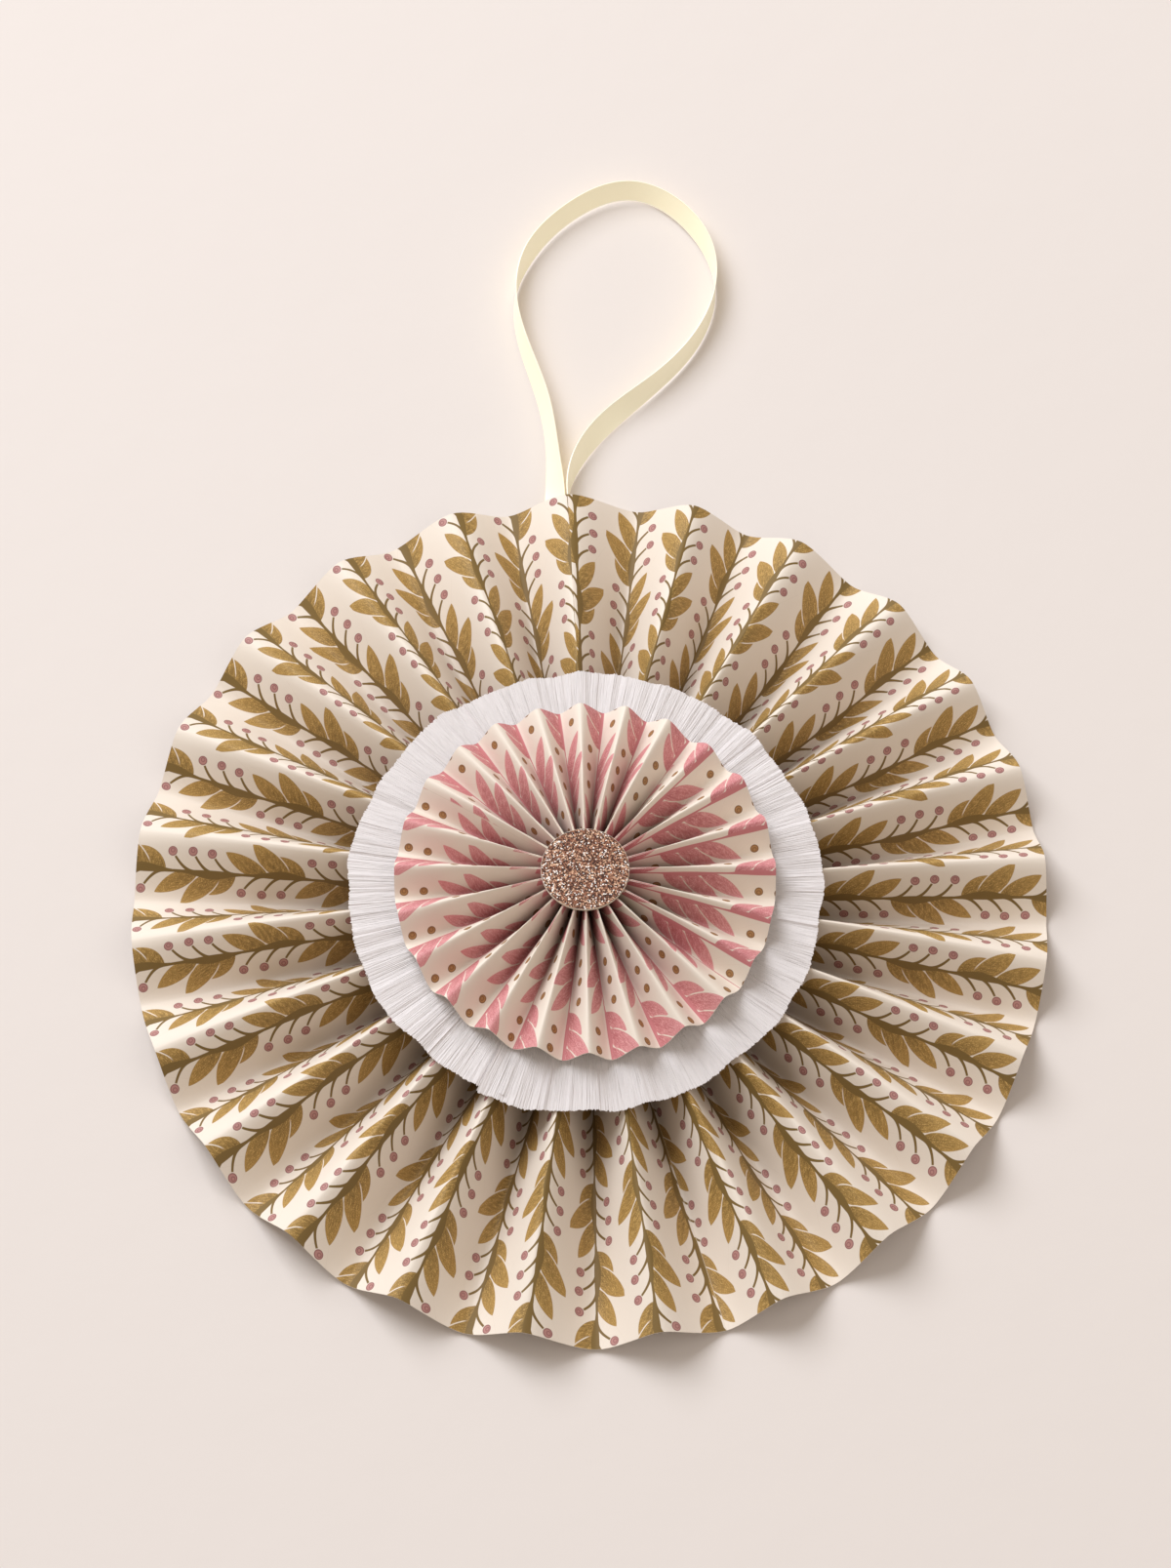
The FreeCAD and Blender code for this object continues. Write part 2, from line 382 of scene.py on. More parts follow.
def vine_group(leaf: Group, berry: Group, sprig: Sprig) -> Group:
    """The trailing vine over X across the stem and Y up it, both in millimetres.

    Args:
        leaf, berry: the groups it is made of.
        sprig: the repeated cluster, which swaps sides each time.
    Returns:
        A group with the masks Leaf, Stem, Berry and Rim, and Along and Across the leaf under a point.
    """
    group = Group(sprig.name, {"X": 0.0, "Y": 0.0}, ("Leaf", "Along", "Across", "Stem", "Berry", "Rim"))
    tree = group.tree
    x = group.take("X")
    y = group.take("Y")
    flip = (y / sprig.pitch).floor().wrap(2.0) * -2.0 + 1.0
    local = y.wrap(sprig.pitch)
    leaves = local * 0.0
    along = local * 0.0
    across = local * 0.0
    stems = local * 0.0
    fruit = local * 0.0
    rim = local * 0.0
    for turn, lift in ((-1.0, sprig.pitch), (1.0, 0.0)):
        side = x * flip * turn
        way = local + lift
        for start, angle, length, width, bow in sprig.leaves:
            if lift and start + length * math.cos(angle) < sprig.pitch:
                continue
            drawn = call(
                tree, leaf, X=side, Y=way, Base_Y=start, Angle=angle, Length=length, Width=width, Bow=bow
            )
            mask = drawn["Mask"]
            clear = drawn["Halo"] * -1.0 + 1.0
            leaves = (leaves * clear).top(mask)
            along = along * (mask * -1.0 + 1.0) + drawn["Along"] * mask
            across = across * (mask * -1.0 + 1.0) + drawn["Across"] * mask
        for out, up, start in sprig.berries:
            if lift and up + sprig.radius < sprig.pitch:
                continue
            drawn = call(tree, berry, X=side, Y=way, At_X=out, At_Y=up, From_Y=start, Radius=sprig.radius)
            stems = stems.top(drawn["Twig"] * sprig.twigs)
            fruit = fruit.top(drawn["Fruit"])
            rim = rim.top(drawn["Rim"])
    # The stem thickens where the leaves of a cluster join it, and leans to their side there.
    thick = (local - sprig.pitch * 0.42).size().ramp(sprig.pitch * 0.46, 0.0)
    swell = thick * sprig.swell
    stem = (swell + sprig.stem - (x * flip - swell * 0.7).size()).ramp(-0.06, 0.12)
    group.give("Leaf", leaves)
    group.give("Along", along)
    group.give("Across", across)
    group.give("Stem", stems.top(stem))
    group.give("Berry", fruit)
    group.give("Rim", rim)
    return group


class Material:
    """A Principled material under construction."""

    def __init__(self, name: str, colour: tuple, roughness: float) -> None:
        """Starts the material.

        Args:
            name: its name.
            colour: its linear colour.
            roughness: from 0 to 1.
        """
        self.data = bpy.data.materials.new(name)
        self.data.use_nodes = True
        self.tree = self.data.node_tree
        self.shader = self.tree.nodes["Principled BSDF"]
        self.shader.inputs["Base Color"].default_value = colour
        self.shader.inputs["Roughness"].default_value = roughness
        self.base = None
        self.colour = colour

    def blend(self, mask: Flow, colour: tuple) -> None:
        """Lays a colour over what is there.

        Args:
            mask: 1 where it shows.
            colour: the linear colour.
        """
        node = self.tree.nodes.new("ShaderNodeMix")
        node.data_type = "RGBA"
        if self.base is None:
            node.inputs["A"].default_value = self.colour
        else:
            self.tree.links.new(self.base, node.inputs["A"])
        node.inputs["B"].default_value = colour
        self.tree.links.new(mask.socket, node.inputs["Factor"])
        self.base = node.outputs["Result"]
        self.tree.links.new(self.base, self.shader.inputs["Base Color"])

    def bump(self, height: Flow, strength: float, distance: float) -> None:
        """Bumps the surface.

        Args:
            height: how high it stands, around 0 to 1.
            strength: from 0 to 1.
            distance: what a height of 1 stands for, in metres.
        """
        node = self.tree.nodes.new("ShaderNodeBump")
        node.inputs["Strength"].default_value = strength
        node.inputs["Distance"].default_value = distance
        self.tree.links.new(height.socket, node.inputs["Height"])
        self.tree.links.new(node.outputs["Normal"], self.shader.inputs["Normal"])

    def grain(self, group: Group, scale: float, strength: float) -> None:
        """Bumps the surface with the shared paper grain.

        Args:
            group: the grain.
            scale: how fine it is.
            strength: how much it shows.
        """
        place = Flow(self.tree, self.place())
        self.bump(call(self.tree, group, Place=place, Scale=scale)["Height"], strength, 0.0002)

    def set(self, **values: object) -> None:
        """Sets inputs of the shader by name, with _ for a space."""
        for label, value in values.items():
            self.shader.inputs[label.replace("_", " ")].default_value = value

    def place(self) -> object:
        """The piece's own coordinates, in metres."""
        return self.tree.nodes.new("ShaderNodeTexCoord").outputs["Object"]

    def strip(self, wide: float, long: float) -> tuple[Flow, Flow]:
        """The place on a strip that the UV map lays out.

        Args:
            wide: millimetres that the map's width stands for.
            long: millimetres that its height stands for.
        Returns:
            Millimetres across and along.
        """
        uv = self.tree.nodes.new("ShaderNodeUVMap")
        uv.uv_map = "OFBake"
        parts = self.tree.nodes.new("ShaderNodeSeparateXYZ")
        self.tree.links.new(uv.outputs["UV"], parts.inputs[0])
        across = Flow(self.tree, parts.outputs["X"]) * wide
        along = Flow(self.tree, parts.outputs["Y"]) * long
        return across, along


@dataclass(frozen=True)
class Print:
    """A vine print on a pleated strip: its colours, where the stems run and how it lies up the strip."""

    name: str
    leaf: Tone
    leaf_dark: Tone
    fruit: Tone
    fruit_rim: Tone
    leaf_light: Tone
    stem: Tone
    pitch: float  # from stem to stem
    strips: tuple  # (panels round to its start, a stem's place, a left cluster's place from the hub)

    def lay(self, across: Flow, up: Flow, panel: float) -> tuple[Flow, Flow, Flow]:
        """Lays the vine on the strips that the paper is joined from.

        Args:
            across, up: millimetres round the ring from the first panel and up from the hub.
            panel: width of a panel.
        Returns:
            Millimetres across the nearest stem and up it, and a mask of the joints.
        """
        _, across_at, up_at = self.strips[0]
        x_at = across * 0.0 + across_at
        y_at = across * 0.0 + up_at
        joint = across * 0.0
        for start, next_across, next_up in self.strips[1:]:
            past = across.over(start * panel)
            x_at = x_at + past * (next_across - across_at)
            y_at = y_at + past * (next_up - up_at)
            joint = joint.top((across - start * panel).size().ramp(0.16, 0.06))
            across_at, up_at = next_across, next_up
        x = (across - x_at + self.pitch / 2.0).wrap(self.pitch) - self.pitch / 2.0
        return x, up - y_at, joint

    def material(
        self, strip_wide: float, fold_long: float, vine: Group, grain: Group
    ) -> bpy.types.Material:
        """Makes the printed paper, with joints of the strips and painted shade towards hub and valleys.

        Args:
            strip_wide: millimetres that the map's width stands for.
            fold_long: millimetres from hub to rim.
            vine: the group that draws the print.
            grain: the paper grain.
        Returns:
            The material.
        """
        material = Material(self.name, Tone.CREAM.colour(), 0.62)
        tree = material.tree
        across, up = material.strip(strip_wide, fold_long / FACE_SHARE)
        panel = strip_wide / PANELS
        x, y, joint = self.lay(across, up, panel)
        drawn = call(tree, vine, X=x, Y=y)
        leaf = drawn["Leaf"]
        along = drawn["Along"]
        side = drawn["Across"]
        strokes = plane(tree, along * 3.0 + up * 0.12, side * 2.2 + across * 0.35)
        brush = noise(tree, strokes, 2.2, 6.0)
        speck = noise(tree, plane(tree, across, up), 3.4)
        middle = (side.size() * -1.0 + 1.0).unit()
        shade = (along * -1.0 + 1.0) * 0.85 + middle * 0.3
        shade = shade + (brush - 0.5) * 2.2 + (speck - 0.5) * 1.8 - 0.36
        light = (brush * -0.5 + 0.30 - (speck - 0.5) * 0.7).ramp(0.06, 0.2)
        material.blend(leaf, self.leaf.colour())
        material.blend(light * leaf, self.leaf_light.colour())
        material.blend(shade.unit() * leaf, self.leaf_dark.colour())
        material.blend(drawn["Stem"], self.stem.colour())
        material.blend(drawn["Berry"], self.fruit.colour())
        material.blend(drawn["Rim"] * 0.8, self.fruit_rim.colour())
        material.blend(joint * 0.5, Tone.CARD.colour())
        # Painted shade: the paper darkens in the valleys and towards the hub, where the folds shade it.
        valley = ((across / panel).wrap(2.0) - 1.0).size() * -1.0 + 1.0
        inwards = (up / -fold_long + 1.0).unit()
        material.blend((valley**1.1) * (inwards**1.1) * 0.92, Tone.PAINTED_FOLD_SHADE.colour())
        material.grain(grain, 700.0, 0.12)
        return material.data


@dataclass(frozen=True)
class PlainFinish:
    """One colour with a faint paper grain."""

    name: str
    tone: Tone
    roughness: float = 0.7

    def material(self, grain: Group) -> bpy.types.Material:
        """Makes the material.

        Args:
            grain: the paper grain.
        Returns:
            The material.
        """
        material = Material(self.name, self.tone.colour(), self.roughness)
        material.grain(grain, 900.0, 0.15)
        return material.data


@dataclass(frozen=True)
class CrepeFinish:
    """White crepe paper with fine crimps that run outwards."""

    around: float = 430.0  # what the map's width stands for
    outwards: float = 120.0  # what its height stands for
    crimps: tuple = ((0.9, 0.5), (2.4, 0.5))  # (crimps to a millimetre, share of the height)
    stretch: float = 0.035  # how slowly a crimp changes on its way outwards

    def material(self) -> bpy.types.Material:
        """Makes the material: noise that is drawn out along the crimps.

        Returns:
            The material.
        """
        material = Material("crepe_paper", Tone.CREPE.colour(), 0.8)
        tree = material.tree
        around, out = material.strip(self.around, self.outwards)
        drawn = plane(tree, around, out * self.stretch)
        lines = around * 0.0
        for scale, share in self.crimps:
            lines = noise(tree, drawn, scale, 3.0) * share + lines
        material.bump(lines, 0.9, 0.0012)
        material.set(Subsurface_Weight=0.1, Subsurface_Radius=(0.002, 0.002, 0.002), Subsurface_Scale=1.0)
        return material.data


@dataclass(frozen=True)
class GlitterFinish:
    """Rose gold glitter: small flakes, each with its own tilt and tone, the palest tone a painted glint.
    """

    flakes: float = 2800.0  # to a metre
    base: tuple = (152, 98, 72)
    flake_tones_and_glints: tuple = (  # (where it starts and is full in a flake's chance from 0 to 1, colour); the palest is a painted glint
        (0.50, 0.40, (72, 40, 28)),
        (0.72, 0.78, (222, 180, 148)),
        (0.90, 0.92, (255, 250, 245)),
    )

    def material(self) -> bpy.types.Material:
        """Makes the material: a cell's colour picks its tone, the palest a painted glint, and its tilt.

        Returns:
            The material.
        """
        material = Material("glitter_card", srgb(*self.base), 0.35)
        tree = material.tree
        cells = tree.nodes.new("ShaderNodeTexVoronoi")
        cells.inputs["Scale"].default_value = self.flakes
        tree.links.new(material.place(), cells.inputs["Vector"])
        parts = tree.nodes.new("ShaderNodeSeparateColor")
        tree.links.new(cells.outputs["Color"], parts.inputs[0])
        pick = Flow(tree, parts.outputs[0])
        # Flake tones; the white flakes are painted glints.
        for start, full, colour in self.flake_tones_and_glints:
            material.blend(pick.ramp(start, full), srgb(*colour))
        material.set(Metallic=0.35)
        material.bump(Flow(tree, parts.outputs[1]), 0.5, 0.0003)
        return material.data


@dataclass(frozen=True)
class SatinFinish:
    """Ivory satin with a soft sheen, lighter selvages that carry a painted highlight, and a painted glow
    for light through the band.
    """

    around: float = 6.8  # both faces of the band, as the map's width
    long: float = 330.0  # what its height stands for
    through: float = 0.17  # painted glow: emission that stands in for light coming through the band

    def material(self) -> bpy.types.Material:
        """Makes the material, with the fine cross ribs of the weave as its bump.

        Returns:
            The material.
        """
        material = Material("satin", Tone.IVORY.colour(), 0.30)
        material.set(Sheen_Weight=0.25, Sheen_Roughness=0.4)
        # Painted glow: the satin emits a little of its own colour, in place of light that comes through
        # the band.
        material.set(Emission_Color=Tone.IVORY.colour(), Emission_Strength=self.through)
        across, along = material.strip(self.around, self.long)
        # Lighter selvages: the woven edges, with a painted highlight where they catch the light.
        selvage_highlight = ((across / (self.around / 2.0)).wrap(1.0) - 0.5).size().ramp(0.455, 0.47)
        material.blend(selvage_highlight, Tone.SELVAGE_HIGHLIGHT.colour())
        weave = (along * 22.0).sine() * 0.5 + (across * 14.0).sine() * 0.3
        material.bump(weave, 0.08, 0.0001)
        return material.data


@dataclass
class Skin:
    """A mesh in the making, from grids of points."""

    points: list = field(default_factory=list)
    uvs: list = field(default_factory=list)
    faces: list = field(default_factory=list)
    slots: list = field(default_factory=list)
    count: int = 0

    def add_grid(
        self, grid: np.ndarray, uv: np.ndarray, slot: int, flip: bool = False, ring: bool = False
    ) -> None:
        """Adds a grid of points as four-sided faces.

        Args:
            grid: points, rows by columns by 3, in millimetres.
            uv: places on the map, rows by columns (by one more if ring) by 2.
            slot: the material slot.
            flip: turns the faces over.
            ring: joins the last column to the first.
        """
        rows, columns = grid.shape[:2]
        index = self.count + np.arange(rows * columns).reshape(rows, columns)
        spots = np.arange(uv.shape[0] * uv.shape[1]).reshape(uv.shape[:2])
        if ring:
            index = np.concatenate([index, index[:, :1]], axis=1)
        corner = (slice(None, -1), slice(None, -1)), (slice(None, -1), slice(1, None))
        corner += (slice(1, None), slice(1, None)), (slice(1, None), slice(None, -1))
        quads = np.stack([index[c] for c in corner], axis=-1).reshape(-1, 4)
        places = np.stack([spots[c] for c in corner], axis=-1).reshape(-1, 4)
        if flip:
            quads = quads[:, ::-1]
            places = places[:, ::-1]
        self.points.append(grid.reshape(-1, 3))
        self.faces.append(quads)
        self.uvs.append(uv.reshape(-1, 2)[places.reshape(-1)])
        self.slots.append(np.full(len(quads), slot))
        self.count += rows * columns

    def build(
        self, name: str, materials: list[bpy.types.Material], crease: float = 50.0
    ) -> bpy.types.Object:
        """Makes the object, with the points that meet made one.

        Args:
            name: its name.
            materials: one per slot.
            crease: edges that turn by more than this many degrees are sharp.
        Returns:
            The object, linked to the scene.
        """
        points = np.concatenate(self.points)
        quads = np.concatenate(self.faces)
        _, first, same = np.unique(np.round(points, 4), axis=0, return_index=True, return_inverse=True)
        points = points[first] * MM
        quads = same.reshape(-1)[quads]
        mesh = bpy.data.meshes.new(name)
        mesh.vertices.add(len(points))
        mesh.vertices.foreach_set("co", points.astype(np.float32).ravel())
        mesh.loops.add(quads.size)
        mesh.loops.foreach_set("vertex_index", quads.ravel().astype(np.int32))
        mesh.polygons.add(len(quads))
        mesh.polygons.foreach_set("loop_start", np.arange(0, quads.size, 4, dtype=np.int32))
        mesh.polygons.foreach_set("material_index", np.concatenate(self.slots).astype(np.int32))
        layer = mesh.uv_layers.new(name="OFBake")
        layer.data.foreach_set("uv", np.concatenate(self.uvs).astype(np.float32).ravel())
        mesh.update(calc_edges=True)
        mesh.validate()
        mesh.shade_smooth()
        mesh.set_sharp_from_angle(angle=math.radians(crease))
        for material in materials:
            mesh.materials.append(material)
        piece = bpy.data.objects.new(name, mesh)
        bpy.context.scene.collection.objects.link(piece)
        return piece


def normals_of(grid: np.ndarray, ring: bool) -> np.ndarray:
    """Unit normals of a grid, by the cross product of its two directions.

    Args:
        grid: points, rows by columns by 3.
        ring: whether the columns close.
    Returns:
        Normals of the grid's shape.
    """
    if ring:
        wide = np.roll(grid, -1, axis=1) - np.roll(grid, 1, axis=1)
    else:
        wide = np.gradient(grid, axis=1)
    long = np.gradient(grid, axis=0)
    normal = np.cross(long, wide)
    return normal / np.maximum(np.linalg.norm(normal, axis=-1, keepdims=True), 1e-9)


def spread(rows: int, columns: int, box: tuple[float, float, float, float]) -> np.ndarray:
    """An even map over a box.

    Args:
        rows, columns: how many points it has.
        box: its left, low, right and high sides.
    Returns:
        Places on the map, rows by columns by 2.
    """
    left, low, right, high = box
    u, v = np.meshgrid(np.linspace(left, right, columns), np.linspace(low, high, rows))
    return np.stack([u, v], axis=-1)


@dataclass(frozen=True)
class Folds:
    """How the folds of a fan are spaced, in degrees: a start and two swings round the ring."""

    start: float
    once: float
    once_at: float
    twice: float
    twice_at: float

    def angles(self, steps: np.ndarray) -> np.ndarray:
        """Where folds lie round the ring.

        Args:
            steps: the folds, where whole steps are ridges and halves are valleys.
        Returns:
            Their angles in radians.
        """
        turn = 360.0 * steps / PLEATS
        even = self.start - self.once + turn
        swing = self.once * np.cos(np.radians(even - self.once_at))
        swing += self.twice * np.cos(np.radians(2.0 * even - self.twice_at))
        return np.radians(self.start + turn + swing)


@dataclass(frozen=True)
class PleatedFan:
    """A ring of pleated paper with a printed face and a plain back."""

    name: str
    radius: float
    hub: float
    panel: float
    rise: float
    seat: float
    folds: Folds
    centre: tuple[float, float] = (0.0, 0.0)
    thick: float = 0.3
    soft_hub: float = 0.002  # rounding of the folds at the hub, 0 for a knife edge
    soft_rim: float = 0.06
    hover: float = 0.0  # how far the rim stands off what is under it
    stray: float = 0.0045  # radians that a fold lies off its place
    uneven: float = 0.35  # how far a fold's end stands high or low
    across: int = 10  # faces across a panel
    rows: int = 60
    seed: int = SEED

    @property
    def strip(self) -> float:
        """Flat length of the strip before it was folded."""
        return PANELS * self.panel

    @property
    def fold(self) -> float:
        """Length of a fold from hub to rim, near enough."""
        return self.radius - self.hub

    def reaches(self) -> np.ndarray:
        """Shares of the way from hub to rim, closer together towards the rim."""
        return 1.0 - (1.0 - np.linspace(0.0, 1.0, self.rows)) ** 1.25

    def steps(self) -> np.ndarray:
        """Places round the ring in panels, closer together at the folds."""
        share = 0.5 - 0.5 * np.cos(np.pi * np.arange(self.across) / self.across)
        return (np.arange(PANELS)[:, None] + share[None, :]).reshape(-1)

    def face(self) -> np.ndarray:
        """Points of the printed side, rows from hub to rim by columns round the ring.

        A panel keeps its width, so a ridge stands above its valleys by the root of the width squared
        less the square of the gap between a valley and a ridge. Between the folds the height follows
        the arcsine of a cosine: a zigzag whose corners are rounded by the softness, which grows with
        the cube of the reach. Each fold strays a little round the ring and up or down at the rim,
        where a valley moves by 0.3 of what a ridge does.

        Returns:
            Points, rows by columns by 3.
        """
        chance = np.random.default_rng(self.seed)
        reach = self.reaches()
        radius = (self.hub + self.fold * reach)[:, None]
        step = self.steps()
        knots = np.arange(PANELS + 1) / 2.0
        jitter = chance.normal(0.0, self.stray, PANELS)
        angles = self.folds.angles(knots) + np.append(jitter, jitter[:1])
        angle = np.interp(step / 2.0, knots, angles)[None, :]
        gap = 2.0 * radius * np.sin(np.pi / PANELS)
        deep = np.sqrt(self.panel**2 - gap**2)
        valley = self.seat + self.rise * (self.radius - radius) / self.fold
        valley = valley + self.hover * reach[:, None] ** 4
        soft = self.soft_hub + (self.soft_rim - self.soft_hub) * reach[:, None] ** 3
        wave = np.arcsin((1.0 - soft) * np.cos(np.pi * step)[None, :]) / np.arcsin(1.0 - soft)
        ends = chance.normal(0.0, self.uneven, PANELS + 1)
        ends[-1] = ends[0]
        lift = np.interp(step, np.arange(PANELS + 1), ends)[None, :] * reach[:, None] ** 2
        height = valley + deep * (0.5 + 0.5 * wave) + np.maximum(lift, -0.3) * (0.3 + 0.7 * (wave > 0))
        x = self.centre[0] + radius * np.cos(angle)
        y = self.centre[1] + radius * np.sin(angle)
        return np.stack([x, y, np.broadcast_to(height, x.shape)], axis=-1)

    def build(self, printed: bpy.types.Material, back: bpy.types.Material) -> bpy.types.Object:
        """Makes the fan.

        Args:
            printed: the face's material.
            back: the material of the back and the cut edges.
        Returns:
            The object.
        """
        top = self.face()
        under = top - normals_of(top, ring=True) * self.thick
        rows, columns = top.shape[:2]
        u, v = np.meshgrid(np.append(self.steps(), PANELS) / PANELS, self.reaches() * FACE_SHARE)
        skin = Skin()
        skin.add_grid(top, np.stack([u, v], axis=-1), 0, flip=True, ring=True)
        skin.add_grid(under, spread(rows, columns + 1, (0.0, 0.91, 1.0, 0.97)), 1, ring=True)
        for row, flip, low in ((0, False, 0.975), (-1, True, 0.99)):
            edge = np.stack([top[row], under[row]])
            box = (0.0, low, 1.0, low + 0.008)
            skin.add_grid(edge, spread(2, columns + 1, box), 1, flip=flip, ring=True)
        return skin.build(self.name, [printed, back])


LARGE = PleatedFan(
    name="large_fan_paper",
    radius=133.1,
    hub=6.5,
    panel=20.3,
    rise=1.2,
    seat=0.3,
    folds=Folds(95.4, 3.0, -83.5, 1.87, -88.8),
    soft_rim=0.26,
    hover=0.9,
    rows=64,
)
SMALL = PleatedFan(
    name="small_fan_paper",
    radius=54.9,
    hub=4.0,
    panel=9.8,
    rise=0.85,
    seat=22.4,
    folds=Folds(0.4, 3.0, 1.5, 1.4, 109.0),
    centre=STACK,
    soft_rim=0.30,
    rows=40,
    seed=SEED + 1,
)


DOTTED = Sprig(
    name="Dotted vine",
    leaves=((1.8, 0.68, 11.2, 4.2, 0.5), (7.0, 0.76, 15.2, 5.0, -2.0), (12.4, 0.55, 15.2, 4.6, -1.4)),
    berries=((-5.0, 8.9, 3.2), (-5.2, 14.6, 9.2), (-5.0, 20.6, 14.8)),
    radius=1.3,
    twigs=0.0,
    stem=0.3,
    swell=0.6,
)
OLIVE_PRINT = Print(
    name="leaf_paper",
    leaf=Tone.LEAF,
    leaf_dark=Tone.LEAF_DARK,
    fruit=Tone.BERRY,
    fruit_rim=Tone.BERRY_RIM,
    leaf_light=Tone.LEAF_LIGHT,
    stem=Tone.LEAF_DARK,
    pitch=LARGE.strip / 50.0,
    strips=((0, 19.08, 13.1), (25, 17.5, 17.4)),
)
ROSE_PRINT = Print(
    name="rose_paper",
    leaf=Tone.ROSE,
    leaf_dark=Tone.ROSE_DARK,
    fruit=Tone.DOT,
    fruit_rim=Tone.DOT_RIM,
    leaf_light=Tone.ROSE_LIGHT,
    stem=Tone.ROSE_STEM,
    pitch=SMALL.strip / PLEATS,
    strips=((0, 17.0, 37.2), (7, 9.8, 37.2), (20.3, 12.9, 33.6), (33, 9.8, 34.5), (43, 17.0, 37.2)),
)


@dataclass(frozen=True)
class CrepeFrill:
    """A strip of crepe gathered round its card disc, whose ends overlap."""

    strip: float = 260.0  # flat length, before it was gathered inside and stretched outside
    wide: float = 59.5  # flat width
    radius: float = 68.5
    hole: float = 9.0
    card: float = 20.0  # radius of the card disc
    seat: float = 22.15
    edge_seat: float = 20.5  # height of the rim
    centre: tuple[float, float] = STACK
    overlap_at: float = 244.0  # degrees round to the first end
    overlap: float = 7.0  # degrees
    end_out: float = 2.0  # how far the first end stands out
    end_up: float = 0.5  # how far it stands up
    thick: float = 0.2
    waves: tuple = ((7, 0.28), (12, 0.34), (24, 0.30), (43, 0.20), (71, 0.13))  # (count round, height)
    creases: tuple = ((2.6, 0.19), (1.3, 0.15))  # (width at the rim, height)
    columns: int = 1700
    rows: int = 24

    def crimps(self, turn: np.ndarray, reach: np.ndarray, chance: np.random.Generator) -> np.ndarray:
        """Height of the crimps: sines round the ring that swell and fade, and creases by chance.

        Args:
            turn: the place round the ring in radians.
            reach: the place from the hole, 0, to the rim, 1.
            chance: where the random numbers come from.
        Returns:
            Millimetres up.
        """
        height = 0.0
        for count, tall in self.waves:
            swell = 0.6 + 0.4 * np.sin(turn * chance.integers(2, 9) + chance.uniform(0.0, 6.0))
            height = height + tall * swell * np.sin(turn * count + chance.uniform(0.0, 6.0))
        for wide, tall in self.creases:
            count = int(2.0 * np.pi * self.radius / wide)
            knots = np.sort(chance.uniform(turn.min() - 0.2, turn.max() + 0.2, count))
            heights = chance.normal(0.0, tall, count)
            skew = 0.012 * np.sin(turn * 5.0 + wide) * (1.0 - reach)
            height = height + np.interp(turn + skew, knots, heights)
        return height

    def build(self, material: bpy.types.Material) -> bpy.types.Object:
        """Makes the frill: a ring that falls from its card to its rim, with a top and an underside.

        The height falls with the share of the way from card to rim to the power of 1.2; the crimps
        grow with the same share. The rim wanders by three sines and a little by chance.

        Args:
            material: the crepe.
        Returns:
            The object.
        """
        chance = np.random.default_rng(SEED + 2)
        turn = np.radians(self.overlap_at + np.linspace(0.0, 360.0 + self.overlap, self.columns))[None, :]
        reach = np.linspace(0.0, 1.0, self.rows)[:, None]
        way = (turn - turn[0, 0]) / (turn[0, -1] - turn[0, 0])
        ragged = 0.35 * np.sin(turn * 9.0) + 0.3 * np.sin(turn * 17.0 + 1.0)
        ragged = ragged + 0.2 * np.sin(turn * 31.0 + 2.0)
        step_out = self.end_out * np.exp(-way * 9.0)
        outer = self.radius + ragged + step_out + chance.normal(0.0, 0.14, turn.shape)
        radius = self.hole + (outer - self.hole) * reach
        slope = np.clip((radius - self.card) / (self.radius - self.card), 0.0, 1.0)
        height = self.seat + (self.edge_seat - self.seat) * slope**1.2
        height = height + self.crimps(turn, reach, chance) * (0.15 + 0.85 * slope)
        height = height + self.end_up * (1.0 - np.clip(way / 0.03, 0.0, 1.0)) * slope
        x = self.centre[0] + radius * np.cos(turn)
        y = self.centre[1] + radius * np.sin(turn)
        grid = np.stack([x, y, height], axis=-1)
        under = grid - np.array([0.0, 0.0, self.thick])
        skin = Skin()
        skin.add_grid(grid, spread(self.rows, self.columns, (0.0, 0.0, 1.0, 0.48)), 0, flip=True)
        skin.add_grid(under, spread(self.rows, self.columns, (0.0, 0.5, 1.0, 0.96)), 0)
        for row, flip, low in ((0, False, 0.97), (-1, True, 0.98)):
            edge = np.stack([grid[row], under[row]])
            skin.add_grid(edge, spread(2, self.columns, (0.0, low, 1.0, low + 0.008)), 0, flip=flip)
        for column, flip, low in ((0, True, 0.0), (-1, False, 0.5)):
            edge = np.stack([grid[:, column], under[:, column]])
            skin.add_grid(edge, spread(2, self.rows, (low, 0.99, low + 0.4, 0.998)), 0, flip=flip)
        return skin.build("crepe_frill_paper", [material])


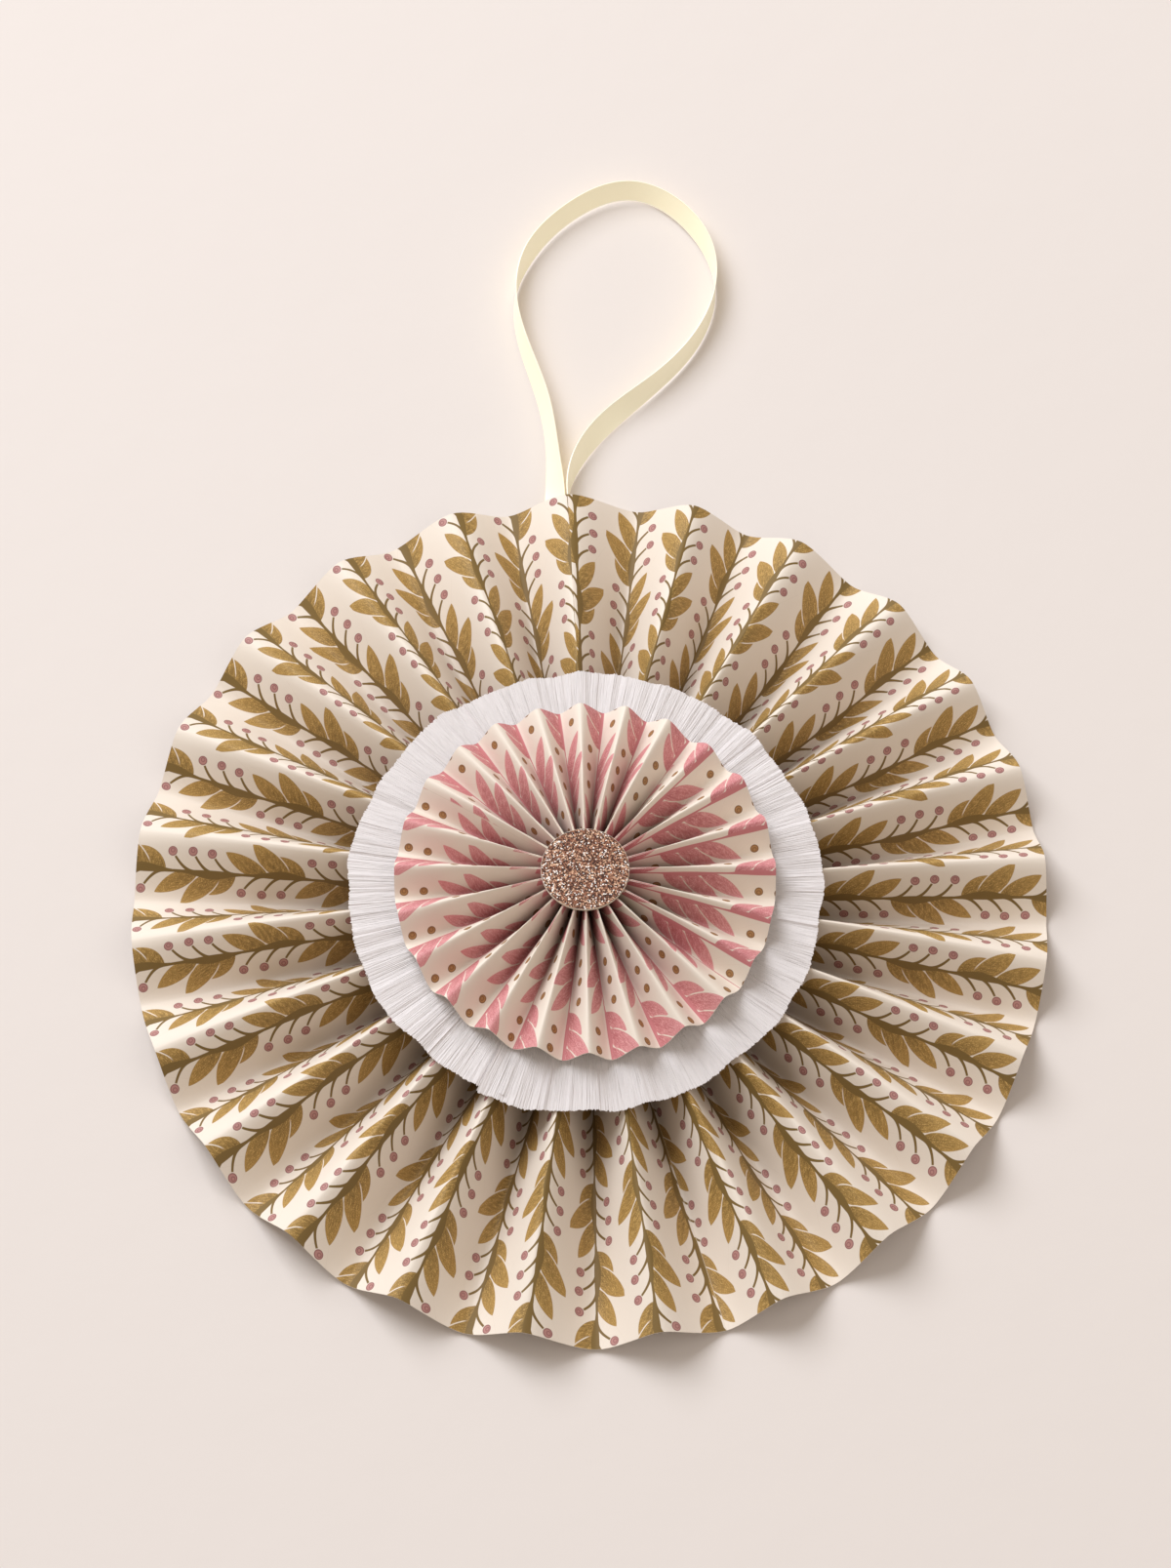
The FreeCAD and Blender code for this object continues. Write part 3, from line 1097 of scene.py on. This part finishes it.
@dataclass(frozen=True)
class GlitterDisc:
    """The punched disc of glitter card."""

    radius: float = 12.7
    thick: float = 0.9
    bevel: float = 0.12
    pole: float = 1.0  # radius of the flat caps at the axis
    seat: float = 32.75
    centre: tuple[float, float] = STACK
    columns: int = 160

    def build(self, face: bpy.types.Material, card: bpy.types.Material) -> bpy.types.Object:
        """Makes the disc: a profile turned round its axis, with flat caps at the poles.

        Args:
            face: the glitter.
            card: the edge and underside.
        Returns:
            The object.
        """
        bevel = self.bevel
        top = self.seat + self.thick
        profile = np.array(
            [
                (self.pole, top),
                (self.radius * 0.5, top),
                (self.radius - bevel - 0.1, top),
                (self.radius - bevel, top),
                (self.radius, top - bevel),
                (self.radius, self.seat + bevel),
                (self.radius - bevel, self.seat),
                (self.pole, self.seat),
            ]
        )
        turn = np.linspace(0.0, 2.0 * np.pi, self.columns, endpoint=False)
        grid = np.stack(
            [
                self.centre[0] + profile[:, :1] * np.cos(turn),
                self.centre[1] + profile[:, :1] * np.sin(turn),
                np.broadcast_to(profile[:, 1:], (len(profile), self.columns)),
            ],
            axis=-1,
        )
        skin = Skin()
        skin.add_grid(grid[:4], spread(4, self.columns + 1, (0.0, 0.0, 1.0, 0.4)), 0, flip=True, ring=True)
        skin.add_grid(grid[3:], spread(5, self.columns + 1, (0.0, 0.5, 1.0, 0.9)), 1, flip=True, ring=True)
        half = self.columns // 2
        for row, slot, flip, low in ((0, 0, False, 0.42), (-1, 1, True, 0.92)):
            pole = np.stack([grid[row, :half], grid[row, half:][::-1]])
            skin.add_grid(pole, spread(2, half, (0.0, low, 0.4, low + 0.03)), slot, flip=flip)
        return skin.build("glitter_disc_card", [face, card], 25.0)


def smooth_way(points: np.ndarray, marks: np.ndarray, wanted: np.ndarray) -> np.ndarray:
    """A natural cubic spline through points.

    Args:
        points: the points, count by parts.
        marks: their places along the way, rising.
        wanted: the places asked for.
    Returns:
        The spline at the wanted places.
    """
    gaps = np.diff(marks)
    count = len(marks)
    system = np.eye(count)
    right = np.zeros_like(points)
    for row in range(1, count - 1):
        system[row, row - 1 : row + 2] = (gaps[row - 1], 2.0 * (gaps[row - 1] + gaps[row]), gaps[row])
        right[row] = 6.0 * (
            (points[row + 1] - points[row]) / gaps[row] - (points[row] - points[row - 1]) / gaps[row - 1]
        )
    bends = np.linalg.solve(system, right)
    span = np.clip(np.searchsorted(marks, wanted) - 1, 0, count - 2)
    gap = gaps[span][:, None]
    ahead = (marks[span + 1] - wanted)[:, None]
    behind = (wanted - marks[span])[:, None]
    curve = (bends[span] * ahead**3 + bends[span + 1] * behind**3) / (6.0 * gap)
    curve += (points[span] / gap - bends[span] * gap / 6.0) * ahead
    return curve + (points[span + 1] / gap - bends[span + 1] * gap / 6.0) * behind


@dataclass(frozen=True)
class RibbonLoop:
    """The satin ribbon: tail, loop, tail. Its way is (x, y, lower edge, lean in degrees)."""

    wide: float = 6.8
    thick: float = 0.25
    way: tuple = (
        (-10.55, 91.4, 5.6, 127.0),
        (-10.8, 98.3, 5.2, 129.0),
        (-11.1, 105.3, 4.8, 132.0),
        (-11.6, 112.2, 4.2, 135.0),
        (-10.5, 134.0, 2.2, 152.0),
        (-11.0, 148.5, 1.4, 126.0),
        (-14.2, 169.8, 1.0, 118.0),
        (-20.7, 190.7, 0.8, 109.0),
        (-22.7, 206.1, 0.7, 93.0),
        (-17.8, 222.0, 0.8, 64.0),
        (-7.4, 234.1, 1.0, 60.0),
        (13.0, 242.7, 1.2, 58.0),
        (31.0, 231.8, 1.0, 57.0),
        (38.6, 209.6, 0.7, 88.0),
        (31.2, 188.2, 0.8, 107.0),
        (18.3, 173.9, 0.9, 119.0),
        (5.3, 162.2, 0.9, 136.0),
        (-3.6, 149.3, 0.7, 116.0),
        (-6.5, 135.0, 1.0, 93.0),
        (1.2, 113.0, 4.2, 135.0),
        (1.3, 106.0, 4.8, 132.0),
        (1.4, 99.0, 5.2, 129.0),
        (1.5, 92.0, 5.6, 127.0),
    )
    cup: float = 0.10  # how far the band's middle bows out
    bead: float = 0.3  # how much thicker the selvages are, as a share
    rows: int = 400
    across: int = 24

    def stations(self) -> tuple[np.ndarray, np.ndarray, np.ndarray]:
        """The ribbon's way, from splines through its points and their leans.

        Returns:
            Centres, side directions and face directions along the ribbon.
        """
        way = np.array(self.way)
        along = np.gradient(way[:, :2], axis=0)
        along /= np.linalg.norm(along, axis=1, keepdims=True)
        turn = np.radians(way[:, 3])
        side = np.stack([-along[:, 1] * np.cos(turn), along[:, 0] * np.cos(turn), np.sin(turn)], axis=1)
        centre = np.stack([way[:, 0], way[:, 1], way[:, 2] + self.wide / 2.0 * np.sin(turn)], axis=1)
        marks = np.append(0.0, np.cumsum(np.linalg.norm(np.diff(centre, axis=0), axis=1)))
        wanted = np.linspace(0.0, marks[-1], self.rows)
        middle = smooth_way(centre, marks, wanted)
        sides = smooth_way(side, marks, wanted)
        tangent = np.gradient(middle, axis=0)
        tangent /= np.linalg.norm(tangent, axis=1, keepdims=True)
        sides -= tangent * np.sum(sides * tangent, axis=1, keepdims=True)
        sides /= np.linalg.norm(sides, axis=1, keepdims=True)
        return middle, sides, np.cross(tangent, sides)

    def build(self, material: bpy.types.Material) -> tuple[bpy.types.Object, np.ndarray]:
        """Makes the ribbon: a flat ring-shaped section with a bead at each edge, carried along the way.

        Args:
            material: the satin.
        Returns:
            The object and its centre line in millimetres.
        """
        middle, sides, faces = self.stations()
        spot = np.linspace(-1.0, 1.0, self.across + 1)
        cup = self.cup * (1.0 - spot**2)
        bead = 1.0 + self.bead * (np.abs(spot) > 0.9)
        over = np.stack([spot, cup + 0.5 * self.thick * bead])
        under = np.stack([spot, cup - 0.5 * self.thick * bead])
        ring = np.concatenate([over, under[:, ::-1]], axis=1)
        grid = middle[:, None] + sides[:, None] * (ring[0] * self.wide / 2.0)[None, :, None]
        grid = grid + faces[:, None] * ring[1][None, :, None]
        skin = Skin()
        columns = grid.shape[1]
        skin.add_grid(grid, spread(self.rows, columns + 1, (0.0, 0.0, 1.0, 0.98)), 0, flip=True, ring=True)
        for row, flip, low in ((0, False, 0.0), (-1, True, 0.5)):
            half = columns // 2
            cap = np.stack([grid[row, :half], grid[row, half:][::-1]])
            skin.add_grid(cap, spread(2, half, (low, 0.985, low + 0.4, 0.998)), 0, flip=flip)
        return skin.build("ribbon_loop_satin", [material]), middle


@dataclass(frozen=True)
class Studio:
    """Camera, table and lights."""

    distance: float = 1.6575
    elevation: float = 65.4
    aim: tuple[float, float] = (-0.00128, 0.04276)
    lens: float = 128.96
    edge: float = 3000.0  # half the table's side
    daylight: tuple = (1.0, 0.90, 0.79, 1.0)
    daylight_strength: float = 0.42

    def camera(self) -> None:
        """Puts the camera where the photograph was taken from."""
        data = bpy.data.cameras.new("camera")
        data.lens = self.lens
        data.sensor_width = 36.0
        data.sensor_fit = "AUTO"
        data.clip_start = 0.05
        data.clip_end = 20.0
        piece = bpy.data.objects.new("camera", data)
        bpy.context.scene.collection.objects.link(piece)
        lift = math.radians(self.elevation)
        back = Vector((0.0, -math.cos(lift), math.sin(lift)))
        piece.location = Vector((*self.aim, 0.0)) + back * self.distance
        piece.rotation_euler = back.to_track_quat("Z", "Y").to_euler()
        bpy.context.scene.camera = piece

    def table(self) -> None:
        """The pale table under the object."""
        material = Material("table", Tone.TABLE.colour(), 0.85)
        material.bump(noise(material.tree, material.place(), 45.0, 8.0), 0.10, 0.002)
        skin = Skin()
        side = np.array([-self.edge, self.edge])
        x, y = np.meshgrid(side, side)
        grid = np.stack([x, y, np.zeros_like(x)], axis=-1)
        skin.add_grid(grid, spread(2, 2, (0.0, 0.0, 1.0, 1.0)), 0)
        skin.build("table", [material.data])

    def area(self, name: str, place: tuple, size: float, power: float, colour: tuple) -> None:
        """Adds a square lamp that looks at the object.

        Args:
            name: its name.
            place: where it stands, in metres.
            size: its side, in metres.
            power: in watts.
            colour: as red, green and blue.
        """
        data = bpy.data.lights.new(name, "AREA")
        data.size = size
        data.energy = power
        data.color = colour
        lamp = bpy.data.objects.new(name, data)
        lamp.location = place
        lamp.rotation_euler = (Vector(place) - Vector((0.0, 0.03, 0.0))).to_track_quat("Z", "Y").to_euler()
        bpy.context.scene.collection.objects.link(lamp)

    def lights(self) -> None:
        """Adds a soft key from the upper left, a weak fill and even daylight."""
        self.area("key", (-1.5, 1.85, 2.35), 2.3, 106.0, (0.91, 0.95, 1.0))
        self.area("fill", (1.3, -0.3, 1.8), 2.0, 5.0, (1.0, 0.95, 0.90))
        world = bpy.data.worlds.new("world")
        world.use_nodes = True
        ground = world.node_tree.nodes["Background"]
        ground.inputs["Color"].default_value = self.daylight
        ground.inputs["Strength"].default_value = self.daylight_strength
        bpy.context.scene.world = world


def finish_nodes(names: tuple[str, ...], material: bpy.types.Material) -> None:
    """Gives CAD nodes that stay in view their material."""
    for name in names:
        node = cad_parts[name]
        node.data.materials.clear()
        node.data.materials.append(material)
        report(node)


def report(piece: bpy.types.Object) -> None:
    """Logs a finished piece."""
    log.info("%s: %d faces", piece.name, len(piece.data.polygons))


def main() -> None:
    """Builds the whole scene."""
    logging.basicConfig(level=logging.INFO, format="%(message)s")
    scene = bpy.context.scene
    scene.render.engine = "CYCLES"
    scene.render.resolution_x = 1200
    scene.render.resolution_y = 1607
    scene.view_settings.view_transform = "Standard"
    studio = Studio()
    studio.camera()
    studio.table()
    studio.lights()

    ribbon = RibbonLoop()
    loop, middle = ribbon.build(SatinFinish().material())
    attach(loop, "root")
    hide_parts("ribbon_loop")
    path = [tuple(float(part) * MM for part in point) for point in middle[::3]]
    length = float(np.sum(np.linalg.norm(np.diff(middle, axis=0), axis=1))) * MM
    log.info("ribbon %.1f mm", length / MM)
    report(loop)

    grain = grain_group()
    leaf = leaf_group()
    berry = berry_group()
    vine = vine_group(leaf, berry, Sprig("Vine"))
    spray = vine_group(leaf, berry, DOTTED)
    back = PlainFinish("back_paper", Tone.BACK_PAPER).material(grain)
    card = PlainFinish("plain_card", Tone.CARD).material(grain)
    glue = PlainFinish("glue", Tone.GLUE, 0.4).material(grain)

    large_print = OLIVE_PRINT.material(LARGE.strip, LARGE.fold, vine, grain)
    large = LARGE.build(large_print, back)
    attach(large, "root")
    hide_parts("large_fan")
    LARGE.strip * MM
    report(large)

    gathered = CrepeFrill()
    frill = gathered.build(CrepeFinish().material())
    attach(frill, "root")
    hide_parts("crepe_frill")
    flat = (gathered.strip * MM, gathered.wide * MM)
    report(frill)

    small_print = ROSE_PRINT.material(SMALL.strip, SMALL.fold, spray, grain)
    small = SMALL.build(small_print, back)
    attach(small, "root")
    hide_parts("small_fan")
    SMALL.strip * MM
    report(small)

    disc = GlitterDisc().build(GlitterFinish().material(), card)
    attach(disc, "root")
    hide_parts("glitter_disc")
    report(disc)

    finish_nodes(("back_disc", "frill_disc"), card)
    finish_nodes(("large_hub_glue", "small_hub_glue"), glue)


if __name__ == "__main__":
    main()
